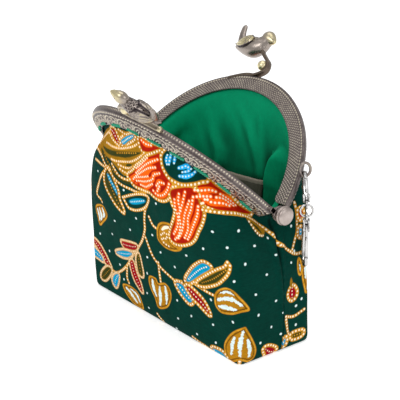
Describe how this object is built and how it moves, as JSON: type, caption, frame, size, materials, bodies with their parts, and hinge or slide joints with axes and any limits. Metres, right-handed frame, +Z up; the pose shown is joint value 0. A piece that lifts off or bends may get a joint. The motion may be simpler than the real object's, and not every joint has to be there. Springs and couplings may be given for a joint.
{
  "type": "kiss-lock frame purse",
  "caption": "Small cloth purse standing open on its flat base: floral print outside, green lining, antique bronze kiss-lock frame with little bird clasps and lobster hooks hanging at one hinge.",
  "frame": {"origin": "middle of the flat base, on the surface that the purse stands on", "axes": "+X along the hinge line to the end with the hanging hooks, +Y to the rear frame half, +Z up through the open mouth"},
  "size_m": [0.1141, 0.104, 0.1157],
  "materials": {
    "print_cloth": "dark green printed cotton with ochre, orange, blue and white floral motifs",
    "lining_cloth": "emerald green cotton",
    "pocket_cloth": "dark grey-brown cotton",
    "antique_bronze": "antique plated, worn pale on raised ornament",
    "silver": "silver plated, lightly scuffed"
  },
  "bodies": {
    "purse": {"outer_shell": "print_cloth", "lining": "lining_cloth", "inner_pocket": "pocket_cloth", "frame_rear": "antique_bronze", "frame_front": "antique_bronze", "rivet_right": "silver", "rivet_left": "silver", "upper_clasp_body": "silver", "jump_ring": "silver", "lower_clasp_body": "silver"},
    "upper_lever": {"upper_clasp_lever": "silver"},
    "lower_lever": {"lower_clasp_lever": "silver"}
  },
  "joints": [
    {"name": "upper_lever_pivot", "type": "hinge", "parent": "purse", "child": "upper_lever", "pos_m": [0.05334, 0.01275, 0.06565], "axis": [-0.6214, -0.7813, -0.0588], "range_deg": [0, 22], "stiffness_Nm_per_rad": 0.0001, "springref_deg": -11.46},
    {"name": "lower_lever_pivot", "type": "hinge", "parent": "purse", "child": "lower_lever", "pos_m": [0.05492, 0.01171, 0.05311], "axis": [0.6225, 0.7826, 0], "range_deg": [0, 22], "stiffness_Nm_per_rad": 0.0001, "springref_deg": -11.46}
  ]
}
